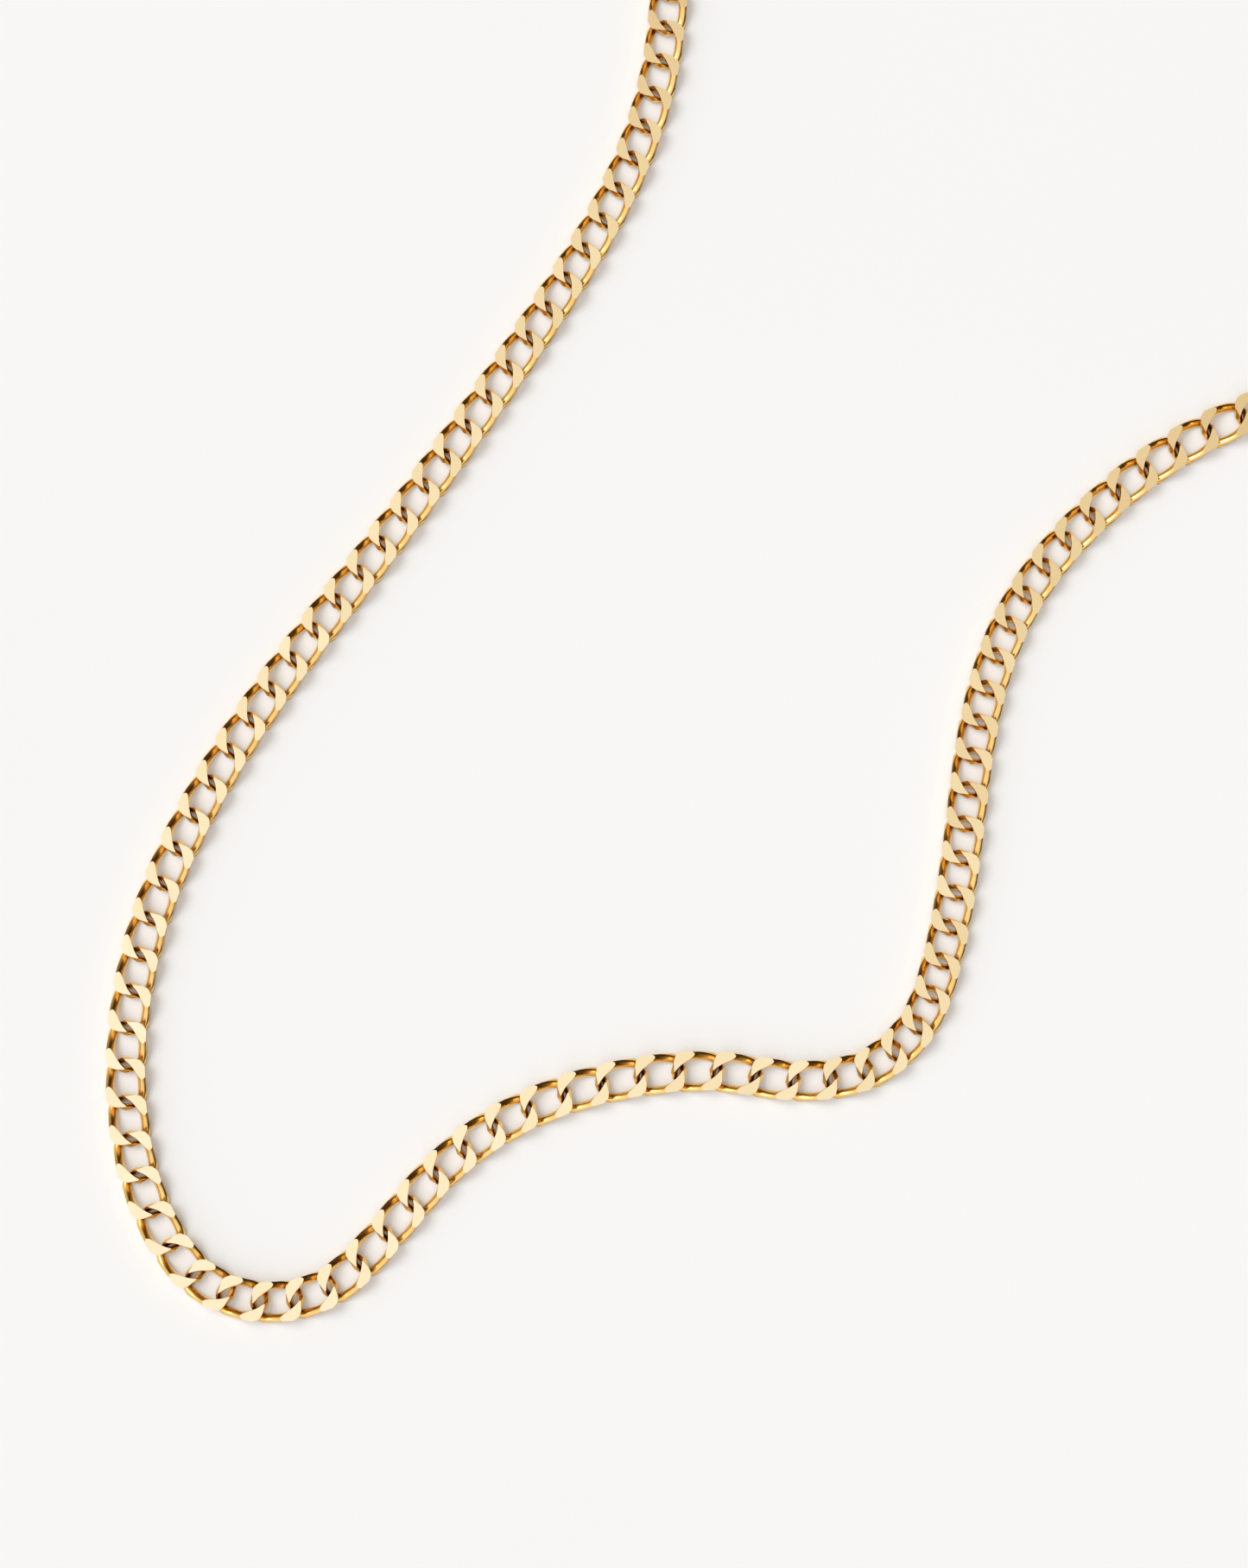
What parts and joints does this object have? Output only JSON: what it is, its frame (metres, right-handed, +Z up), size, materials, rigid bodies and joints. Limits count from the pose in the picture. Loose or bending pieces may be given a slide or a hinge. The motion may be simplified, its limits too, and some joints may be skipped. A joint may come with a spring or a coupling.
{
  "type": "chain necklace",
  "caption": "Flat diamond-cut curb chain necklace in yellow gold, laid open in loose curves, its links hooked together, with a sprung lobster claw on a jump ring and an end ring.",
  "frame": {"origin": "on the table, under the middle of the bounding box of the necklace as it is laid out", "axes": "+Z up out of the table, +Y from the low bends of the chain towards the claw, +X towards the end ring"},
  "size_m": [0.1658, 0.214, 0.0041],
  "materials": {
    "gold": "polished, diamond cut",
    "spring_steel": "bright drawn"
  },
  "bodies": {
    "link_pair_01": {"link_pair_01": "gold"},
    "link_pair_02": {"link_pair_02": "gold"},
    "link_pair_03": {"link_pair_03": "gold"},
    "link_pair_04": {"link_pair_04": "gold"},
    "link_pair_05": {"link_pair_05": "gold"},
    "link_pair_06": {"link_pair_06": "gold"},
    "link_pair_07": {"link_pair_07": "gold"},
    "link_pair_08": {"link_pair_08": "gold"},
    "link_pair_09": {"link_pair_09": "gold"},
    "link_pair_10": {"link_pair_10": "gold"},
    "link_pair_11": {"link_pair_11": "gold"},
    "link_pair_12": {"link_pair_12": "gold"},
    "link_pair_13": {"link_pair_13": "gold"},
    "link_pair_14": {"link_pair_14": "gold"},
    "link_pair_15": {"link_pair_15": "gold"},
    "link_pair_16": {"link_pair_16": "gold"},
    "link_pair_17": {"link_pair_17": "gold"},
    "link_pair_18": {"link_pair_18": "gold"},
    "link_pair_19": {"link_pair_19": "gold"},
    "link_pair_20": {"link_pair_20": "gold"},
    "link_pair_21": {"link_pair_21": "gold"},
    "link_pair_22": {"link_pair_22": "gold"},
    "link_pair_23": {"link_pair_23": "gold"},
    "link_pair_24": {"link_pair_24": "gold"},
    "link_pair_25": {"link_pair_25": "gold"},
    "link_pair_26": {"link_pair_26": "gold"},
    "link_pair_27": {"link_pair_27": "gold"},
    "link_pair_28": {"link_pair_28": "gold"},
    "link_pair_29": {"link_pair_29": "gold"},
    "link_pair_30": {"link_pair_30": "gold"},
    "link_pair_31": {"link_pair_31": "gold"},
    "link_pair_32": {"link_pair_32": "gold"},
    "link_pair_33": {"link_pair_33": "gold"},
    "link_pair_34": {"link_pair_34": "gold"},
    "link_pair_35": {"link_pair_35": "gold"},
    "link_pair_36": {"link_pair_36": "gold"},
    "link_pair_37": {"link_pair_37": "gold"},
    "link_pair_38": {"link_pair_38": "gold"},
    "link_pair_39": {"link_pair_39": "gold"},
    "link_pair_40": {"link_pair_40": "gold"},
    "link_pair_41": {"link_pair_41": "gold"},
    "link_pair_42": {"link_pair_42": "gold"},
    "link_pair_43": {"link_pair_43": "gold"},
    "link_pair_44": {"link_pair_44": "gold"},
    "link_pair_45": {"link_pair_45": "gold"},
    "link_pair_46": {"link_pair_46": "gold"},
    "link_pair_47": {"link_pair_47": "gold"},
    "link_pair_48": {"link_pair_48": "gold"},
    "link_pair_49": {"link_pair_49": "gold"},
    "link_pair_50": {"link_pair_50": "gold"},
    "link_pair_51": {"link_pair_51": "gold"},
    "link_pair_52": {"link_pair_52": "gold"},
    "jump_ring": {"jump_ring": "gold"},
    "end_ring": {"end_ring": "gold"},
    "claw": {"claw_body": "gold", "claw_pin": "gold", "claw_spring": "spring_steel"},
    "claw_lever": {"claw_lever": "gold"}
  },
  "joints": [
    {"name": "flex_01", "type": "hinge", "parent": "link_pair_02", "child": "link_pair_01", "pos_m": [-0.01142, 0.08373, 0.00075], "axis": [0.9278, -0.3731, 0], "range_deg": [-24, 24]},
    {"name": "turn_02", "type": "hinge", "parent": "link_pair_03", "child": "link_pair_02", "pos_m": [-0.01422, 0.07563, 0.00075], "axis": [0, 0, 1], "range_deg": [-16.5, 21.5]},
    {"name": "flex_03", "type": "hinge", "parent": "link_pair_04", "child": "link_pair_03", "pos_m": [-0.01632, 0.06743, 0.00075], "axis": [-0.9786, 0.2057, 0], "range_deg": [-24, 24]},
    {"name": "turn_04", "type": "hinge", "parent": "link_pair_05", "child": "link_pair_04", "pos_m": [-0.01772, 0.05903, 0.00075], "axis": [0, 0, -1], "range_deg": [-21.5, 16.5]},
    {"name": "flex_05", "type": "hinge", "parent": "link_pair_06", "child": "link_pair_05", "pos_m": [-0.01852, 0.05053, 0.00075], "axis": [0.9962, -0.0875, 0], "range_deg": [-24, 24]},
    {"name": "turn_06", "type": "hinge", "parent": "link_pair_07", "child": "link_pair_06", "pos_m": [-0.01942, 0.04213, 0.00075], "axis": [0, 0, 1], "range_deg": [-23.5, 14.5]},
    {"name": "flex_07", "type": "hinge", "parent": "link_pair_08", "child": "link_pair_07", "pos_m": [-0.02142, 0.03393, 0.00075], "axis": [-0.9528, 0.3035, 0], "range_deg": [-24, 24]},
    {"name": "turn_08", "type": "hinge", "parent": "link_pair_09", "child": "link_pair_08", "pos_m": [-0.02452, 0.02603, 0.00075], "axis": [0, 0, -1], "range_deg": [-16, 22]},
    {"name": "flex_09", "type": "hinge", "parent": "link_pair_10", "child": "link_pair_09", "pos_m": [-0.02842, 0.01853, 0.00075], "axis": [0.8681, -0.4963, 0], "range_deg": [-24, 24]},
    {"name": "turn_10", "type": "hinge", "parent": "link_pair_11", "child": "link_pair_10", "pos_m": [-0.03282, 0.01133, 0.00075], "axis": [0, 0, 1], "range_deg": [-19, 19]},
    {"name": "flex_11", "type": "hinge", "parent": "link_pair_12", "child": "link_pair_11", "pos_m": [-0.03742, 0.00413, 0.00075], "axis": [-0.8373, 0.5468, 0], "range_deg": [-24, 24]},
    {"name": "turn_12", "type": "hinge", "parent": "link_pair_13", "child": "link_pair_12", "pos_m": [-0.04222, -0.00307, 0.00075], "axis": [0, 0, -1], "range_deg": [-18.5, 19.5]},
    {"name": "flex_13", "type": "hinge", "parent": "link_pair_14", "child": "link_pair_13", "pos_m": [-0.04712, -0.01017, 0.00075], "axis": [0.8184, -0.5746, 0], "range_deg": [-24, 24]},
    {"name": "turn_14", "type": "hinge", "parent": "link_pair_15", "child": "link_pair_14", "pos_m": [-0.05212, -0.01717, 0.00075], "axis": [0, 0, 1], "range_deg": [-19.5, 18.5]},
    {"name": "flex_15", "type": "hinge", "parent": "link_pair_16", "child": "link_pair_15", "pos_m": [-0.05722, -0.02407, 0.00075], "axis": [-0.802, 0.5973, 0], "range_deg": [-24, 24]},
    {"name": "turn_16", "type": "hinge", "parent": "link_pair_17", "child": "link_pair_16", "pos_m": [-0.06232, -0.03097, 0.00075], "axis": [0, 0, -1], "range_deg": [-20.5, 17.5]},
    {"name": "flex_17", "type": "hinge", "parent": "link_pair_18", "child": "link_pair_17", "pos_m": [-0.06712, -0.03807, 0.00075], "axis": [0.8432, -0.5377, 0], "range_deg": [-24, 24]},
    {"name": "turn_18", "type": "hinge", "parent": "link_pair_19", "child": "link_pair_18", "pos_m": [-0.07152, -0.04547, 0.00075], "axis": [0, 0, 1], "range_deg": [-17, 21]},
    {"name": "flex_19", "type": "hinge", "parent": "link_pair_20", "child": "link_pair_19", "pos_m": [-0.07532, -0.05317, 0.00075], "axis": [-0.917, 0.3988, 0], "range_deg": [-24, 24]},
    {"name": "turn_20", "type": "hinge", "parent": "link_pair_21", "child": "link_pair_20", "pos_m": [-0.07832, -0.06127, 0.00075], "axis": [0, 0, -1], "range_deg": [-23.5, 14.5]},
    {"name": "flex_21", "type": "hinge", "parent": "link_pair_22", "child": "link_pair_21", "pos_m": [-0.08012, -0.06957, 0.00075], "axis": [0.9898, -0.1427, 0], "range_deg": [-24, 24]},
    {"name": "turn_22", "type": "hinge", "parent": "link_pair_23", "child": "link_pair_22", "pos_m": [-0.08072, -0.07807, 0.00075], "axis": [0, 0, 1], "range_deg": [-14.5, 23.5]},
    {"name": "flex_23", "type": "hinge", "parent": "link_pair_24", "child": "link_pair_23", "pos_m": [-0.07992, -0.08647, 0.00075], "axis": [-0.9823, -0.1872, 0], "range_deg": [-24, 24]},
    {"name": "turn_24", "type": "hinge", "parent": "link_pair_25", "child": "link_pair_24", "pos_m": [-0.07742, -0.09457, 0.00075], "axis": [0, 0, -1], "range_deg": [-27, 11]},
    {"name": "flex_25", "type": "hinge", "parent": "link_pair_26", "child": "link_pair_25", "pos_m": [-0.07242, -0.10187, 0.00075], "axis": [0.6441, 0.765, 0], "range_deg": [-24, 24]},
    {"name": "turn_26", "type": "hinge", "parent": "link_pair_27", "child": "link_pair_26", "pos_m": [-0.06502, -0.10487, 0.00075], "axis": [0, 0, 1], "range_deg": [-2, 36]},
    {"name": "flex_27", "type": "hinge", "parent": "link_pair_27", "child": "link_pair_28", "pos_m": [-0.05712, -0.10327, 0.00075], "axis": [0.4931, -0.87, 0], "range_deg": [-24, 24]},
    {"name": "turn_28", "type": "hinge", "parent": "link_pair_28", "child": "link_pair_29", "pos_m": [-0.05082, -0.09717, 0.00075], "axis": [0, 0, -1], "range_deg": [-16.5, 21.5]},
    {"name": "flex_29", "type": "hinge", "parent": "link_pair_29", "child": "link_pair_30", "pos_m": [-0.04522, -0.09047, 0.00075], "axis": [-0.716, 0.6981, 0], "range_deg": [-24, 24]},
    {"name": "turn_30", "type": "hinge", "parent": "link_pair_30", "child": "link_pair_31", "pos_m": [-0.03862, -0.08517, 0.00075], "axis": [0, 0, 1], "range_deg": [-11.5, 26.5]},
    {"name": "flex_31", "type": "hinge", "parent": "link_pair_31", "child": "link_pair_32", "pos_m": [-0.03072, -0.08147, 0.00075], "axis": [0.3268, -0.9451, 0], "range_deg": [-24, 24]},
    {"name": "turn_32", "type": "hinge", "parent": "link_pair_32", "child": "link_pair_33", "pos_m": [-0.02202, -0.07937, 0.00075], "axis": [0, 0, -1], "range_deg": [-23.5, 14.5]},
    {"name": "flex_33", "type": "hinge", "parent": "link_pair_33", "child": "link_pair_34", "pos_m": [-0.01332, -0.07877, 0.00075], "axis": [0.0615, 0.9981, 0], "range_deg": [-24, 24]},
    {"name": "turn_34", "type": "hinge", "parent": "link_pair_34", "child": "link_pair_35", "pos_m": [-0.00462, -0.07997, 0.00075], "axis": [0, 0, 1], "range_deg": [-29, 9]},
    {"name": "flex_35", "type": "hinge", "parent": "link_pair_35", "child": "link_pair_36", "pos_m": [0.00368, -0.07877, 0.00075], "axis": [0.4035, -0.915, 0], "range_deg": [-24, 24]},
    {"name": "turn_36", "type": "hinge", "parent": "link_pair_36", "child": "link_pair_37", "pos_m": [0.00968, -0.07357, 0.00075], "axis": [0, 0, -1], "range_deg": [-2.5, 35.5]},
    {"name": "flex_37", "type": "hinge", "parent": "link_pair_37", "child": "link_pair_38", "pos_m": [0.01248, -0.06617, 0.00075], "axis": [-0.966, 0.2584, 0], "range_deg": [-24, 24]},
    {"name": "turn_38", "type": "hinge", "parent": "link_pair_38", "child": "link_pair_39", "pos_m": [0.01418, -0.05827, 0.00075], "axis": [0, 0, 1], "range_deg": [-20.5, 17.5]},
    {"name": "flex_39", "type": "hinge", "parent": "link_pair_39", "child": "link_pair_40", "pos_m": [0.01538, -0.05027, 0.00075], "axis": [0.991, -0.1337, 0], "range_deg": [-24, 24]},
    {"name": "turn_40", "type": "hinge", "parent": "link_pair_40", "child": "link_pair_41", "pos_m": [0.01648, -0.04227, 0.00075], "axis": [0, 0, -1], "range_deg": [-21.5, 16.5]},
    {"name": "flex_41", "type": "hinge", "parent": "link_pair_41", "child": "link_pair_42", "pos_m": [0.01818, -0.03437, 0.00075], "axis": [-0.9626, 0.2711, 0], "range_deg": [-24, 24]},
    {"name": "turn_42", "type": "hinge", "parent": "link_pair_42", "child": "link_pair_43", "pos_m": [0.02098, -0.02677, 0.00075], "axis": [0, 0, 1], "range_deg": [-12.5, 25.5]},
    {"name": "flex_43", "type": "hinge", "parent": "link_pair_43", "child": "link_pair_44", "pos_m": [0.02528, -0.01987, 0.00075], "axis": [0.7961, -0.6051, 0], "range_deg": [-24, 24]},
    {"name": "turn_44", "type": "hinge", "parent": "link_pair_44", "child": "link_pair_45", "pos_m": [0.03078, -0.01377, 0.00075], "axis": [0, 0, -1], "range_deg": [-22, 16]},
    {"name": "flex_45", "type": "hinge", "parent": "link_pair_45", "child": "link_pair_46", "pos_m": [0.03728, -0.00817, 0.00075], "axis": [-0.5901, 0.8074, 0], "range_deg": [-24, 24]},
    {"name": "turn_46", "type": "hinge", "parent": "link_pair_46", "child": "link_pair_47", "pos_m": [0.04478, -0.00357, 0.00075], "axis": [0, 0, 1], "range_deg": [-14, 24]},
    {"name": "flex_47", "type": "hinge", "parent": "link_pair_47", "child": "link_pair_48", "pos_m": [0.05288, 0.00003, 0.00075], "axis": [0.4063, -0.9137, 0], "range_deg": [-24, 24]},
    {"name": "turn_48", "type": "hinge", "parent": "link_pair_48", "child": "link_pair_49", "pos_m": [0.06058, 0.00383, 0.00075], "axis": [0, 0, -1], "range_deg": [-12.5, 25.5]},
    {"name": "flex_49", "type": "hinge", "parent": "link_pair_49", "child": "link_pair_50", "pos_m": [0.06728, 0.00893, 0.00075], "axis": [-0.6825, 0.7309, 0], "range_deg": [-24, 24]},
    {"name": "turn_50", "type": "hinge", "parent": "link_pair_50", "child": "link_pair_51", "pos_m": [0.07278, 0.01523, 0.00075], "axis": [0, 0, 1], "range_deg": [-25, 13]},
    {"name": "flex_51", "type": "hinge", "parent": "link_pair_51", "child": "link_pair_52", "pos_m": [0.07688, 0.02253, 0.00075], "axis": [0.9166, -0.3998, 0], "range_deg": [-24, 24]},
    {"name": "jump_ring_swing", "type": "hinge", "parent": "link_pair_01", "child": "jump_ring", "pos_m": [-0.00766, 0.09209, 0.00075], "axis": [0.9077, -0.4195, 0], "range_deg": [-8, 35]},
    {"name": "end_ring_swing", "type": "hinge", "parent": "link_pair_52", "child": "end_ring", "pos_m": [0.07988, 0.03112, 0.00075], "axis": [0.9507, -0.31, 0], "range_deg": [0, 45]},
    {"name": "claw_swing", "type": "hinge", "parent": "jump_ring", "child": "claw", "pos_m": [-0.00654, 0.09451, 0.00225], "axis": [0, 0, 1], "range_deg": [-18, 18]},
    {"name": "claw_lever_turn", "type": "hinge", "parent": "claw", "child": "claw_lever", "pos_m": [-0.00393, 0.09772, 0.00266], "axis": [-0.34, 0.1572, 0.9272], "range_deg": [0, 12], "stiffness_Nm_per_rad": 0.002, "springref_deg": -28.65}
  ]
}
